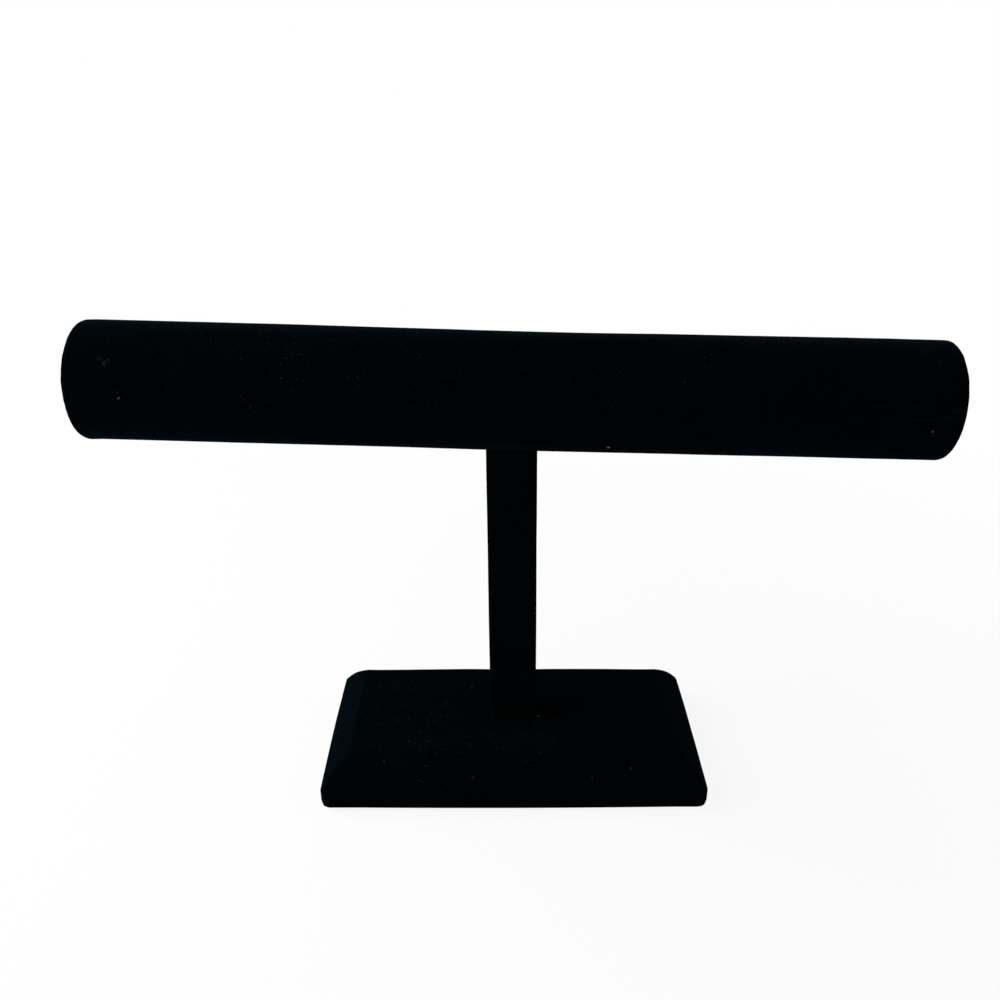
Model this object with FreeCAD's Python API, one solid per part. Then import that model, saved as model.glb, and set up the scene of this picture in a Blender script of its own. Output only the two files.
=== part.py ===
import FreeCAD, Part
import math
import os

# Bracelet display stand: a padded velvet bar on a square post and a bevelled base.
# Millimetres. The origin is the centre of the base's underside, +X runs along the
# bar to the right as a customer sees it, -Y is the front and +Z is up.

# Cloth, foam and glue
velvet = 0.7                # thickness of the velvet, pile included
padding = 0.95              # foam wrapped round the tube
glue = 0.1                  # film of glue between a piece and what it is stuck to
seam_gap = 0.3              # width of a butt seam between two cut edges of cloth
lining = 0.5                # felt sheet glued under the base

# Base board, to its sharp edges
board_width = 147.7
board_depth = 77.7
board_height = 17.5
bevel_run = 10.9
bevel_rise = 11.0
board_chamfer = 0.9         # taken off the board's square edges
base_edge_radius = 2.3      # velvet rounds the edges of the base at this radius
base_hem = 12.0             # velvet turned under the board
lining_inset = 4.0          # edge of the felt sheet, in from the side of the base
lining_ramp = 1.2           # slope where the felt steps off the hem onto the board

# Post, a square stick of wood
post_side = 16.5
post_chamfer = 0.8          # taken off the stick's edges
post_edge_radius = 2.0      # velvet rounds the edges of the post at this radius
post_y = 1.2                # the post stands a little behind the middle of the base
post_lean = -0.6            # degrees out of upright, to the left as photographed
foot_hem = 4.0              # velvet turned under the foot of the post

# Bar, a paperboard tube that is padded and covered
bar_length = 304.8
bar_height = 155.8          # height of the bar's axis above the ground
bar_x = -0.7                # the bar sits this far to the right of the base's middle
bar_tilt = 1.15             # degrees, right end down, as photographed
bar_yaw = -1.3              # degrees, right end to the front, as photographed
tube_radius = 19.05
tube_wall = 2.5
rim_radius = 2.5            # velvet rounds the end of the bar at this radius
rim_steps = 4               # flats that make up that rounding
mouth_chamfer = 0.8         # velvet turns into the mouth of the tube over this slope
bar_hem = 10.0              # velvet turned into the mouth of the tube
post_clearance = 0.2        # between the post and the cut edge of the bar's velvet

# End plugs, a board disc in each mouth of the tube, covered in velvet
disc_thickness = 3.0
plug_chamfer = 0.6          # velvet turns over the edge of the disc over this slope
plug_recess = 0.5           # the plug's face, in from the end of the bar
plug_clearance = 0.1        # between the plug and the turned-in velvet

# Screws and washer
screw_radius = 2.0
screw_taper = 4.0           # length of the pointed end
screw_point_radius = 0.3
base_screw_length = 40.0
base_head_radius = 4.0
base_head_height = 2.4
base_head_sink = 0.3        # the head lies this far inside the board
bar_screw_length = 25.0
bar_head_radius = 3.8
bar_head_height = 2.6
bar_head_chamfer = 1.0
recess_span = 4.4           # cross recess in each screw head
recess_width = 0.9
recess_depth = 1.5
screw_clearance = 0.15      # round a screw that passes freely through a piece
pilot_clearance = 0.05      # round a screw in the wood that holds it
washer_radius = 6.0
washer_thickness = 1.0
driver_hole_radius = 5.0    # in the tube's top, for the screwdriver

# Levels and radii that follow from the sizes above
layers = glue + velvet
lining_top = lining
board_bottom = lining_top + glue + velvet + glue
board_top = board_bottom + board_height
base_top = board_top + layers
base_width = board_width + 2 * layers
base_depth = board_depth + 2 * layers
post_bottom = base_top + glue + layers
tube_bore = tube_radius - tube_wall
padding_bore = tube_radius + glue
padding_radius = padding_bore + padding
bar_radius = padding_radius + layers
mouth_radius = tube_bore - layers
bar_half = bar_length / 2
tube_half = bar_half - layers
rim_chamfer = padding + (3 - math.sqrt(2)) * glue   # inside the rim, a film off the tube
plug_radius = mouth_radius - plug_clearance
plug_face = bar_half - plug_recess
plug_back = plug_face - layers - disc_thickness
offset_tolerance = 0.001
reach = 400.0               # longer than the stand, for cutting tools

X = FreeCAD.Vector(1, 0, 0)
Y = FreeCAD.Vector(0, 1, 0)
Z = FreeCAD.Vector(0, 0, 1)
CENTRE = FreeCAD.Vector(0, 0, 0)
POST_PLACE = FreeCAD.Placement(FreeCAD.Vector(0, post_y, base_top), FreeCAD.Rotation(Y, post_lean))
BAR_TURN = FreeCAD.Rotation(Z, bar_yaw).multiply(FreeCAD.Rotation(Y, bar_tilt))
BAR_PLACE = FreeCAD.Placement(FreeCAD.Vector(bar_x, post_y, bar_height), BAR_TURN)


def at(shape, place):
    """A copy of shape, moved from its own frame to place."""
    moved = shape.copy()
    moved.Placement = place.multiply(moved.Placement)
    return moved


def outline(points):
    """A flat face inside straight lines through points."""
    return Part.Face(Part.makePolygon(points + points[:1]))


def turned_on_x(section):
    """The solid that a section of (x, distance from the axis) sweeps round the X axis."""
    return outline([X * x + Z * radius for x, radius in section]).revolve(CENTRE, X, 360)


def turned_on_z(section):
    """The solid that a section of (z, distance from the axis) sweeps round the Z axis."""
    return outline([Z * z + X * radius for z, radius in section]).revolve(CENTRE, Z, 360)


def rod(radius, start, direction, length=reach):
    """A round rod from start along direction."""
    return Part.makeCylinder(radius, length, start, direction)


def long_rod(radius):
    """A round rod along X, past both ends of the bar."""
    return rod(radius, X * -reach, X, 2 * reach)


def block(width, depth, low, high):
    """A rectangular block about the Z axis, between two heights."""
    corner = FreeCAD.Vector(-width / 2, -depth / 2, low)
    return Part.makeBox(width, depth, high - low, corner)


def frustum(width, depth, low, inset, high):
    """A block about the Z axis whose four sides slope in by inset between two heights."""
    half_x, half_y = width / 2, depth / 2
    top_x, top_y = half_x - inset, half_y - inset
    wedge = Part.makeWedge(-half_x, low, -half_y, -top_y, -top_x, half_x, high, half_y, top_y, top_x)
    return wedge.rotated(CENTRE, X, 90)


def rounded(core, radius):
    """A sharp-edged core swollen by radius, so that every edge turns at that radius."""
    return core.makeOffsetShape(radius, offset_tolerance, join=0)


def chamfered(shape, size, highest):
    """The shape with its edges chamfered whose middles lie below a height."""
    edges = [edge for edge in shape.Edges if edge.CenterOfMass.z < highest]
    return shape.makeChamfer(size, edges)


def base_lip(outwards):
    """Height of the edge between side and bevel, with every face moved out."""
    slope = math.hypot(bevel_run, bevel_rise)
    return board_top - bevel_rise + outwards * (slope - bevel_rise) / bevel_run


def base_form(outwards):
    """The sharp-edged form of the base board, with every face moved out."""
    slope = math.hypot(bevel_run, bevel_rise)
    inset = bevel_run + outwards - outwards * (slope - bevel_run) / bevel_rise
    width, depth = board_width + 2 * outwards, board_depth + 2 * outwards
    lip = base_lip(outwards)
    side = block(width, depth, board_bottom - outwards, lip)
    return side.fuse(frustum(width, depth, lip, inset, board_top + outwards)).removeSplitter()


def base_block(outwards):
    """The board's form, its square edges chamfered, with every face moved out."""
    return chamfered(base_form(outwards), board_chamfer, base_lip(outwards) - board_chamfer)


def base_screw_point():
    """Height of the tip of the screw up through the base."""
    return board_bottom + base_head_sink + base_screw_length


def base_board():
    """The bevelled board, with a countersunk hole for its screw."""
    face = board_bottom + base_head_sink
    head = base_head_radius + screw_clearance
    shank = screw_radius + screw_clearance
    hole = turned_on_z([
        (0, 0), (0, head), (face, head), (face + base_head_height, shank), (base_top, shank),
        (base_top, 0),
    ])
    return base_block(0).cut(hole.translated(Y * post_y))


def base_cover():
    """Velvet over the board: top, bevels, sides and a hem turned underneath."""
    core = base_form(layers - base_edge_radius)
    cloth = rounded(core, base_edge_radius).cut(base_block(glue))
    open_width, open_depth = base_width - 2 * base_hem, base_depth - 2 * base_hem
    cloth = cloth.cut(block(open_width, open_depth, 0, board_bottom))
    mitre_length = (base_hem - base_edge_radius) * math.sqrt(2)
    mitre_start = FreeCAD.Vector(-seam_gap, -seam_gap / 2, 0)
    mitre = Part.makeBox(mitre_length, seam_gap, board_bottom, mitre_start)
    for i in (-1, 1):
        for j in (-1, 1):
            outwards = math.degrees(math.atan2(j, i))
            corner = FreeCAD.Vector(i * open_width / 2, j * open_depth / 2, 0)
            cloth = cloth.cut(mitre.rotated(CENTRE, Z, outwards).translated(corner))
    return cloth.cut(rod(screw_radius + screw_clearance, Y * post_y, Z))


def base_lining():
    """The felt sheet under the base, stepped up off the hem onto the board."""
    step = board_bottom - glue - lining
    width = base_width - 2 * (base_hem + seam_gap)
    depth = base_depth - 2 * (base_hem + seam_gap)
    border = block(base_width - 2 * lining_inset, base_depth - 2 * lining_inset, 0, lining_top)
    raised = frustum(width, depth, lining_top, lining_ramp, lining_top + step)
    hollow = frustum(width - 2 * lining, depth - 2 * lining, 0, lining_ramp, step)
    return border.fuse(raised).cut(hollow).removeSplitter()


def head_recess():
    """The cross cut into a screw head, up from the ground plane."""
    corner = FreeCAD.Vector(-recess_span / 2, -recess_width / 2, 0)
    slot = Part.makeBox(recess_span, recess_width, recess_depth, corner)
    return slot.fuse(slot.rotated(CENTRE, Z, 90))


def base_screw():
    """The countersunk screw that holds the base to the post."""
    face = board_bottom + base_head_sink
    point = base_screw_point()
    screw = turned_on_z([
        (face, 0), (face, base_head_radius), (face + base_head_height, screw_radius),
        (point - screw_taper, screw_radius), (point, screw_point_radius), (point, 0),
    ])
    return screw.cut(head_recess().translated(Z * face)).translated(Y * post_y)


def post_form(outwards):
    """The sharp-edged form of the post in its own frame, its top buried in the bar."""
    side = post_side + 2 * outwards
    return block(side, side, post_bottom - base_top - outwards, bar_height - base_top)


def post_stick(outwards):
    """The wooden stick, its edges chamfered, with every face moved out."""
    highest = bar_height - base_top - post_chamfer
    return at(chamfered(post_form(outwards), post_chamfer, highest), POST_PLACE)


def post_skin(outwards):
    """The outside of the post's velvet, moved out."""
    radius = post_edge_radius + outwards
    return at(rounded(post_form(layers - post_edge_radius), radius), POST_PLACE)


def above(z):
    """Everything above a level plane."""
    return block(reach, reach, z, z + reach)


def tube_seat():
    """The hollow that the tube needs in the top of the post."""
    return at(long_rod(tube_radius + glue), BAR_PLACE)


def post_block():
    """The square stick of wood, hollowed on top for the tube and drilled at both ends."""
    pilot_radius = screw_radius + pilot_clearance
    base_pilot = rod(pilot_radius, Y * post_y, Z, base_screw_point() + pilot_clearance)
    bar_pilot = rod(pilot_radius, CENTRE, -Z, pilot_clearance - bar_screw_point())
    wood = post_stick(0).common(above(post_bottom)).cut(tube_seat())
    return wood.cut(base_pilot).cut(at(bar_pilot, bar_screw_place()))


def post_cover():
    """Velvet round the post, butted down the back and turned under the foot."""
    cloth = post_skin(0).common(above(base_top + glue))
    cloth = cloth.cut(post_stick(glue).common(above(base_top + layers)))
    open_side = post_side - 2 * foot_hem
    window = block(open_side, open_side, -reach, foot_hem)
    butt = Part.makeBox(seam_gap, post_side, reach, X * (-seam_gap / 2))
    return cloth.cut(tube_seat()).cut(at(window, POST_PLACE)).cut(at(butt, POST_PLACE))


def washer_seat():
    """Height, from the bar's axis, of the bar screw's head on its washer."""
    washer_inside = tube_bore - glue - washer_thickness
    return glue - math.sqrt(washer_inside ** 2 - bar_head_radius ** 2)


def bar_screw_place():
    """The bar screw's frame: on the post's axis, level with the bar's axis."""
    rise = (bar_height - base_top) / math.cos(math.radians(post_lean))
    return POST_PLACE.multiply(FreeCAD.Placement(Z * rise, FreeCAD.Rotation()))


def bar_screw_point():
    """Height, from the bar's axis, of the tip of the screw down into the post."""
    return washer_seat() - bar_screw_length


def bar_screw():
    """The pan-headed screw that holds the tube down on the post."""
    seat = washer_seat()
    top = seat + bar_head_height
    point = bar_screw_point()
    screw = turned_on_z([
        (top, 0), (top, bar_head_radius - bar_head_chamfer),
        (top - bar_head_chamfer, bar_head_radius), (seat, bar_head_radius),
        (seat, screw_radius), (point + screw_taper, screw_radius),
        (point, screw_point_radius), (point, 0),
    ])
    return at(screw.cut(head_recess().translated(Z * (top - recess_depth))), bar_screw_place())


def bar_washer():
    """A thin washer that the screw has bent to the inside of the tube."""
    outside = tube_bore - glue
    wall = long_rod(outside).cut(long_rod(outside - washer_thickness))
    ring = rod(washer_radius, CENTRE, -Z).cut(rod(screw_radius + screw_clearance, CENTRE, -Z))
    return at(wall, BAR_PLACE).common(at(ring, bar_screw_place()))


def bar_tube():
    """The paperboard tube, with the screw's hole and the screwdriver's hole above it."""
    tube = turned_on_x([
        (-tube_half, tube_radius), (tube_half, tube_radius),
        (tube_half, tube_bore), (-tube_half, tube_bore),
    ])
    holes = rod(screw_radius + screw_clearance, CENTRE, -Z).fuse(rod(driver_hole_radius, CENTRE, Z))
    return at(tube, BAR_PLACE).cut(at(holes, bar_screw_place()))


def post_opening():
    """What is cut out of the bar's foam and velvet where the post comes up."""
    return post_skin(post_clearance)


def bar_padding():
    """The foam round the tube, butted along the back and open round the post."""
    long_side = tube_half - glue
    short_side = long_side - padding
    foam = turned_on_x([
        (-long_side, padding_bore), (-short_side, padding_radius),
        (short_side, padding_radius), (long_side, padding_bore),
    ])
    corner = FreeCAD.Vector(-reach, 0, -seam_gap / 2)
    butt = Part.makeBox(2 * reach, reach, seam_gap, corner)
    return at(foam.cut(butt), BAR_PLACE).cut(post_opening())


def cloth_outside():
    """The outside of the bar's velvet, as a solid bar with rounded ends."""
    right = [(bar_half, 0)]
    for step in range(rim_steps + 1):
        angle = math.pi / 2 * step / rim_steps
        x = bar_half - rim_radius * (1 - math.cos(angle))
        right.append((x, bar_radius - rim_radius * (1 - math.sin(angle))))
    return turned_on_x(right + [(-x, radius) for x, radius in reversed(right)])


def cloth_inside():
    """The tube and its foam, a film of glue larger, with the rim's slope."""
    inside = bar_half - velvet
    radius = bar_radius - velvet
    wall = mouth_radius + velvet
    return turned_on_x([
        (-inside, wall), (-inside, radius - rim_chamfer), (rim_chamfer - inside, radius),
        (inside - rim_chamfer, radius), (inside, radius - rim_chamfer), (inside, wall),
    ])


def mouth():
    """The open mouths of the bar, with the slope that the velvet turns in over."""
    hem_end = tube_half - bar_hem
    wide = mouth_radius + mouth_chamfer
    right = [
        (hem_end, 0), (hem_end, mouth_radius), (bar_half - mouth_chamfer, mouth_radius),
        (bar_half, wide), (reach, wide), (reach, 0),
    ]
    left = [(-x, radius) for x, radius in right]
    return turned_on_x(right).fuse(turned_on_x(left))


def bar_cover():
    """Velvet round the bar, turned into both mouths and butted along the underside."""
    between_hems = 2 * (tube_half - bar_hem)
    inner_bore = rod(mouth_radius + velvet, X * (-between_hems / 2), X, between_hems)
    cloth = cloth_outside().cut(cloth_inside()).cut(mouth()).cut(inner_bore)
    corner = FreeCAD.Vector(-reach, -seam_gap / 2, -reach)
    butt = Part.makeBox(2 * reach, seam_gap, reach, corner)
    return at(cloth.cut(butt), BAR_PLACE).cut(post_opening())


def at_end(plug_piece, side):
    """A plug's piece at the right end of the bar, for side 1, or the left, for -1."""
    return at(plug_piece if side > 0 else plug_piece.mirror(CENTRE, X), BAR_PLACE)


def end_disc(side):
    """The board disc inside a plug."""
    disc = rod(plug_radius - layers, X * plug_back, X, disc_thickness)
    return at_end(disc, side)


def end_cover(side):
    """Velvet over a plug's face and edge, cut off level with the back of the disc."""
    inner_face = plug_face - velvet
    inner_radius = plug_radius - velvet
    return at_end(turned_on_x([
        (plug_face, 0), (plug_face, plug_radius - plug_chamfer),
        (plug_face - plug_chamfer, plug_radius), (plug_back, plug_radius),
        (plug_back, inner_radius), (inner_face, inner_radius), (inner_face, 0),
    ]), side)


PIECES = {
    "base_board": base_board(),
    "base_cover": base_cover(),
    "base_lining": base_lining(),
    "base_screw": base_screw(),
    "post_block": post_block(),
    "post_cover": post_cover(),
    "bar_tube": bar_tube(),
    "bar_padding": bar_padding(),
    "bar_cover": bar_cover(),
    "bar_screw": bar_screw(),
    "bar_washer": bar_washer(),
    "end_disc_left": end_disc(-1),
    "end_disc_right": end_disc(1),
    "end_cover_left": end_cover(-1),
    "end_cover_right": end_cover(1),
}

os.makedirs("parts", exist_ok=True)
for name, shape in PIECES.items():
    print(name, len(shape.Solids), "solid", round(shape.Volume), "mm3", shape.isValid())
    shape.exportStep("parts/" + name + ".step")
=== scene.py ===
import math

import bmesh
import bpy
from bpy.props import FloatProperty, FloatVectorProperty, IntProperty, PointerProperty
from mathutils import Matrix, Vector, noise


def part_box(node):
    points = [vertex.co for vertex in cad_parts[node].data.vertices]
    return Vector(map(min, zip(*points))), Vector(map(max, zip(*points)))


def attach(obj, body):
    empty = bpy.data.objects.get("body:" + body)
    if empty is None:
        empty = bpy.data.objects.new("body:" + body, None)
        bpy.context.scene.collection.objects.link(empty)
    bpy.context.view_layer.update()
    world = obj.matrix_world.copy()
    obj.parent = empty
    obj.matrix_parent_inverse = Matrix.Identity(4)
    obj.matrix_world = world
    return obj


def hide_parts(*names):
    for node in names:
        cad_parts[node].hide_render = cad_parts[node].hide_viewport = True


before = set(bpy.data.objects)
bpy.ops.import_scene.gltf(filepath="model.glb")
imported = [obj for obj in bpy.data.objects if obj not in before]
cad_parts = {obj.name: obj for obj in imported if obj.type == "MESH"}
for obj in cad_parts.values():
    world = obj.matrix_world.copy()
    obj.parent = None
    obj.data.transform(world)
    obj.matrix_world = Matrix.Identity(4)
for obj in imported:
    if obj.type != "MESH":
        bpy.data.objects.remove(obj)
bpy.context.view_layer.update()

bl_info = {
    "name": "Velvet bracelet stand",
    "version": (1, 0, 0),
    "blender": (4, 5, 0),
    "location": "View3D > Sidebar > Stand",
    "description": "Covers the stand's solids in velvet and sets up its stage",
    "category": "Add Mesh",
}

X, Y, Z = Vector((1, 0, 0)), Vector((0, 1, 0)), Vector((0, 0, 1))
# Within this many metres, a place is on a line or plane of a form, straight or round
NEAR, LOOSE = 1e-5, 1e-4


def middle(node):
    """The middle of a CAD node's box."""
    low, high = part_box(node)
    return (low + high) / 2


def bar_place():
    """The bar's frame: +X along its axis, from its left plug to its right one."""
    left, right = middle("end_disc_left"), middle("end_disc_right")
    along = (right - left).normalized()
    back = Z.cross(along).normalized()
    place = Matrix((along, back, along.cross(back))).transposed().to_4x4()
    place.translation = (left + right) / 2
    return place


def post_place(sizes):
    """The post's frame: +Z up its leaning axis, from the top of the base's velvet."""
    foot = Vector((0, middle("base_screw").y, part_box("base_cover")[1].z))
    return Matrix.Translation(foot) @ Matrix.Rotation(sizes.lean, 4, "Y")


# Sizes and colours that a user would change


def length(name, default, description):
    """A length in metres, as a property."""
    return FloatProperty(
        name=name, description=description, default=default, min=0, precision=5,
        unit="LENGTH", subtype="DISTANCE",
    )


def colour(name, default, description):
    """A linear RGBA colour, as a property."""
    return FloatVectorProperty(
        name=name, description=description, default=(*default, 1), size=4,
        min=0, max=1, subtype="COLOR",
    )


class ClothSizes(bpy.types.PropertyGroup):
    velvet: length("Velvet", 0.0007, "Thickness of the velvet, pile included")
    glue: length("Glue", 0.0001, "Film of glue under the velvet")
    seam: length("Seam", 0.0003, "Gap between the two cut edges of a butt seam")
    pile: length("Pile", 0.00016, "How far loose pile stands out past the velvet")
    ripple: length("Ripple", 0.00011, "How far the stretched velvet wanders from its form")


class BaseSizes(bpy.types.PropertyGroup):
    width: length("Width", 0.1493, "Width of the base over its velvet")
    depth: length("Depth", 0.0793, "Depth of the base over its velvet")
    bottom: length("Bottom", 0.0006, "Height of the hem above the ground")
    lip: length("Lip", 0.00823, "Height of the edge between side and bevel")
    run: length("Bevel run", 0.01137, "How far the bevel runs in")
    edge: length("Edge", 0.0023, "Radius of the velvet's edges")
    corner: length("Corner", 0.0040, "Radius of the upright corners")
    fold: length("Fold", 0.0028, "Radius of the edge where the velvet turns under")
    crown: length("Crown", 0.0003, "How far the padded top and sides swell")
    fullness: length("Fullness", 0.0007, "How far the folded velvet fills out the hips")
    hem: length("Hem", 0.012, "Velvet turned under the board")
    felt: length("Felt", 0.0005, "Thickness of the felt underneath")
    inset: length("Felt inset", 0.004, "Edge of the felt, in from the side of the base")


class PostSizes(bpy.types.PropertyGroup):
    side: length("Side", 0.0181, "Side of the post over its velvet")
    edge: length("Edge", 0.002, "Radius of the velvet's edges")
    hem: length("Foot hem", 0.004, "Velvet turned under the foot")
    clearance: length("Clearance", 0.0002, "Gap to the cut edge of the bar's velvet")
    lean: FloatProperty(
        name="Lean", description="How far the post leans, to the left as photographed",
        default=math.radians(-0.6), subtype="ANGLE", unit="ROTATION",
    )


class BarSizes(bpy.types.PropertyGroup):
    length: length("Length", 0.3048, "Length of the bar over its velvet")
    radius: length("Radius", 0.0209, "Radius of the bar over its velvet")
    tube: length("Tube", 0.01905, "Radius of the paperboard tube")
    mouth: length("Mouth", 0.01575, "Radius inside the turned-in velvet")
    rim: length("Rim", 0.0025, "Radius at which the velvet rounds the bar's end")
    hem: length("Hem", 0.010, "Velvet turned into the tube")
    sag: length("Sag", 0.0004, "How far the padding is pulled down over the post")
    gather: length("Gather", 0.00015, "How far the gathers over the ends stand out")
    pleats: IntProperty(
        name="Pleats", description="Pleats of the velvet round each mouth", default=23, min=0,
    )
    recess: length("Plug recess", 0.0005, "How far the plug's face lies inside the rim")
    disc: length("Plug disc", 0.003, "Thickness of the board disc in a plug")
    sides: IntProperty(
        name="Sides", description="Flats round the bar's velvet", default=216, min=24,
    )


class Colours(bpy.types.PropertyGroup):
    deep: colour("Deep pile", (0.0003, 0.0006, 0.0010), "Velvet seen down into the pile")
    raised: colour("Raised pile", (0.0011, 0.0041, 0.0061), "Velvet with its pile brushed up")
    lint: colour("Lint", (0.19, 0.205, 0.215), "Specks of lint on the velvet")
    felt: colour("Felt", (0.012, 0.013, 0.016), "Felt under the base")
    floor: colour("Floor", (0.9, 0.9, 0.9), "Floor of the stage")


GROUPS = {
    "stand_cloth": ClothSizes, "stand_base": BaseSizes, "stand_post": PostSizes,
    "stand_bar": BarSizes, "stand_colours": Colours,
}


# Modelling by hand


def only(piece):
    """Leaves edit mode and selects one object alone."""
    if bpy.context.object and bpy.context.object.mode != "OBJECT":
        bpy.ops.object.mode_set(mode="OBJECT")
    bpy.ops.object.select_all(action="DESELECT")
    bpy.context.view_layer.objects.active = piece
    piece.select_set(True)


def begin(name):
    """Names the primitive that was just added, and opens it for editing."""
    piece = bpy.context.object
    piece.name = piece.data.name = name
    bpy.ops.object.mode_set(mode="EDIT")
    return piece


def clear():
    """Deselects everything, so that an operator acts only on what is added next."""
    if bpy.context.object and bpy.context.object.mode != "OBJECT":
        bpy.ops.object.mode_set(mode="OBJECT")
    bpy.ops.object.select_all(action="DESELECT")


def pick(piece, kind, test):
    """In edit mode, selects alone the vertices, edges or faces that pass a test."""
    bpy.ops.mesh.select_mode(type=kind)
    bpy.ops.mesh.select_all(action="DESELECT")
    mesh = bmesh.from_edit_mesh(piece.data)
    for part in {"VERT": mesh.verts, "EDGE": mesh.edges, "FACE": mesh.faces}[kind]:
        if test(part):
            part.select_set(True)
    mesh.select_flush_mode()
    bmesh.update_edit_mesh(piece.data)


def mid(edge):
    """The middle of an edge."""
    return (edge.verts[0].co + edge.verts[1].co) / 2


def extrude(move, scale=(1, 1, 1), centre=(0, 0, 0)):
    """Extrudes what is selected, moves it and scales it about a centre."""
    bpy.ops.mesh.extrude_region_move(TRANSFORM_OT_translate={"value": move})
    bpy.ops.transform.resize(value=scale, center_override=centre)


def score(axis, places):
    """Cuts new edges across the whole mesh at places along an axis."""
    for place in places:
        bpy.ops.mesh.select_all(action="SELECT")
        bpy.ops.mesh.bisect(plane_co=axis * place, plane_no=axis)


def steps(low, high, step):
    """Evenly spaced places strictly between two others, about step apart."""
    count = max(1, round((high - low) / step))
    return [low + (high - low) * i / count for i in range(1, count)]


def open_seam(piece, on_seam, side_of, gap):
    """Splits the cloth along the edges on a seam and draws its two sides apart.

    side_of gives, for a face's middle, the unit vector away from the seam.
    """
    pick(piece, "EDGE", on_seam)
    mesh = bmesh.from_edit_mesh(piece.data)
    seam = {
        vertex.co.copy().freeze()
        for edge in mesh.edges if edge.select for vertex in edge.verts
    }
    bpy.ops.mesh.edge_split(type="EDGE")
    mesh = bmesh.from_edit_mesh(piece.data)
    for vertex in mesh.verts:
        if vertex.is_boundary and vertex.co.copy().freeze() in seam:
            near = sum((face.calc_center_median() for face in vertex.link_faces), Vector())
            vertex.co += side_of(near / len(vertex.link_faces)) * gap / 2
    bmesh.update_edit_mesh(piece.data)


def modify(piece, kind, **settings):
    """Adds a modifier with its settings and applies it."""
    only(piece)
    modifier = piece.modifiers.new(kind.title(), kind)
    for name, value in settings.items():
        setattr(modifier, name, value)
    bpy.ops.object.modifier_apply(modifier=modifier.name)


def round_edges(piece, radius_of, segments=4):
    """Rounds each edge at the radius that radius_of gives for it, whatever its angle."""
    mesh = bmesh.from_edit_mesh(piece.data)
    weights = mesh.edges.layers.float.new("bevel_weight_edge")
    wide = {edge: radius_of(edge) for edge in mesh.edges if len(edge.link_faces) == 2}
    widest = max(wide.values())
    for edge, radius in wide.items():
        edge[weights] = min(1, math.tan(edge.calc_face_angle() / 2) * radius / widest)
    bmesh.update_edit_mesh(piece.data)
    modify(
        piece, "BEVEL", limit_method="WEIGHT", width=widest, segments=segments,
        harden_normals=False, use_clamp_overlap=False,
    )
    bpy.ops.object.mode_set(mode="EDIT")


def thicken(piece, velvet):
    """Gives a cloth its thickness, inwards from the surface that shows."""
    modify(piece, "SOLIDIFY", thickness=velvet, offset=-1, use_even_offset=True)


def cut_away(piece, cutter):
    """Cuts a closed form out of a piece and deletes the form."""
    modify(piece, "BOOLEAN", operation="DIFFERENCE", object=cutter, solver="EXACT")
    bpy.data.meshes.remove(cutter.data)


def point_out(piece, is_out):
    """Turns the faces to one side, the side where a test of a face says that it is out."""
    bpy.ops.mesh.select_all(action="SELECT")
    bpy.ops.mesh.normals_make_consistent(inside=False)
    mesh = bmesh.from_edit_mesh(piece.data)
    votes = sum(1 if is_out(face) else -1 for face in mesh.faces)
    if votes < 0:
        bpy.ops.mesh.flip_normals()


def outward(axes):
    """A test of whether a face looks away from the origin, on the axes given as 1."""
    return lambda face: face.normal.dot(face.calc_center_median() * Vector(axes)) > 0


def smooth(share):
    """A share from 0 to 1, with no corner at either end."""
    share = min(1, max(0, share))
    return share * share * (3 - 2 * share)


def wander(place, size, seed):
    """Smooth wandering between -1 and 1 over a size, the same on each run."""
    return noise.noise(place / size + Vector((seed, seed * 1.7, seed * 0.3)))


def settle(piece, move):
    """Moves each vertex by what a function of its place and normal gives."""
    mesh = bmesh.from_edit_mesh(piece.data)
    mesh.normal_update()
    moves = [move(vertex.co.copy(), vertex.normal.copy()) for vertex in mesh.verts]
    for vertex, shift in zip(mesh.verts, moves):
        vertex.co += shift
    bmesh.update_edit_mesh(piece.data)


def finish(piece, material, place=Matrix.Identity(4), crease=35):
    """Puts a finished piece in its place, smooths it and gives it its material."""
    only(piece)
    piece.data.transform(place)
    bpy.ops.object.shade_smooth_by_angle(angle=math.radians(crease))
    piece.data.materials.clear()
    piece.data.materials.append(material)
    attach(piece, "root")


# Materials


def new_material(name):
    """A new material, its node tree and its shader."""
    material = bpy.data.materials.new(name)
    material.use_nodes = True
    return material, material.node_tree, material.node_tree.nodes["Principled BSDF"]


def feed(tree, node, inputs):
    """Gives each input named its value or its link."""
    for name, value in inputs.items():
        if isinstance(value, bpy.types.NodeSocket):
            tree.links.new(value, node.inputs[name])
        else:
            node.inputs[name].default_value = value


def add(tree, kind, inputs, **settings):
    """A new node, with its settings and with a value or a link in each input given."""
    node = tree.nodes.new(kind)
    for name, value in settings.items():
        setattr(node, name, value)
    feed(tree, node, inputs)
    return node


def here(tree, scale=(1, 1, 1), turn=(0, 0, 0)):
    """Where the surface is on the object, scaled or turned for a pattern."""
    place = tree.nodes.new("ShaderNodeTexCoord").outputs["Object"]
    return add(
        tree, "ShaderNodeMapping", {"Vector": place, "Scale": scale, "Rotation": turn}
    ).outputs[0]


def clouds(tree, place, scale, detail=2.0, rough=0.5, warp=0.0):
    """Soft noise with so many features to the metre."""
    return add(
        tree, "ShaderNodeTexNoise",
        {"Vector": place, "Scale": scale, "Detail": detail, "Roughness": rough,
         "Distortion": warp},
    ).outputs[0]


def maths(tree, operation, first, second, clamp=False):
    """The result of a Math node."""
    return add(
        tree, "ShaderNodeMath", {0: first, 1: second}, operation=operation, use_clamp=clamp
    ).outputs[0]


def combine(tree, operation, first, second=(0, 0, 0)):
    """The outputs of a Vector Math node."""
    return add(
        tree, "ShaderNodeVectorMath", {0: first, 1: second}, operation=operation
    ).outputs


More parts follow.
